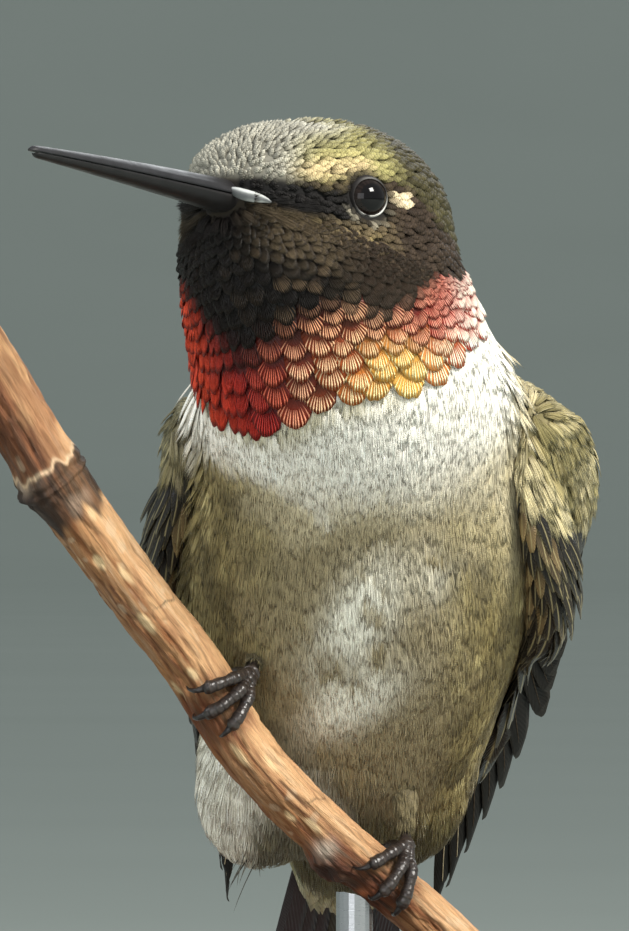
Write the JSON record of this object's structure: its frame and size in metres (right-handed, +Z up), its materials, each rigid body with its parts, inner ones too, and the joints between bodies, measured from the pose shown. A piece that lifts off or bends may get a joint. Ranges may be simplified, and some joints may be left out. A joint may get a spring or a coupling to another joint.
{
  "type": "ruby-throated hummingbird",
  "caption": "Life-size perched male ruby-throated hummingbird, head turned, gripping a short cut branch held over a round flat display base by two thin rods.",
  "frame": {"origin": "centre of the underside of the stand's round base", "axes": "+Z up; the bird's breast faces -Y; the bird's left side is +X; its bill points to -X and -Y because the head is turned to its right"},
  "size_m": [0.068, 0.068, 0.0687],
  "materials": {
    "plumage_head": "fine overlapping feathers, olive-green and grey",
    "plumage_throat": "iridescent red and orange scale-like feathers",
    "plumage_body": "soft matt feathers, white to olive-brown",
    "flight_feathers": "satin dark vanes with pale edges",
    "tail_feathers": "satin dark vanes",
    "bill": "horn, satin black with a grey sheen",
    "eye": "polished, wet",
    "leg_feathers": "downy pale feathers",
    "foot": "scaled skin with horn claws",
    "bark": "smooth fissured bark, tan to red-brown",
    "stand_wood": "dark satin varnish",
    "stand_steel": "brushed"
  },
  "bodies": {
    "root": {"head": "plumage_head", "neck": "plumage_throat", "trunk": "plumage_body", "wing_left": "flight_feathers", "wing_right": "flight_feathers", "tail": "tail_feathers", "bill_upper": "bill", "bill_lower": "bill", "eye_left": "eye", "eye_right": "eye", "leg_left": "leg_feathers", "leg_right": "leg_feathers", "foot_left": "foot", "foot_right": "foot", "perch": "bark", "stand_base": "stand_wood", "stand_rod_lower": "stand_steel", "stand_rod_upper": "stand_steel"}
  },
  "joints": []
}
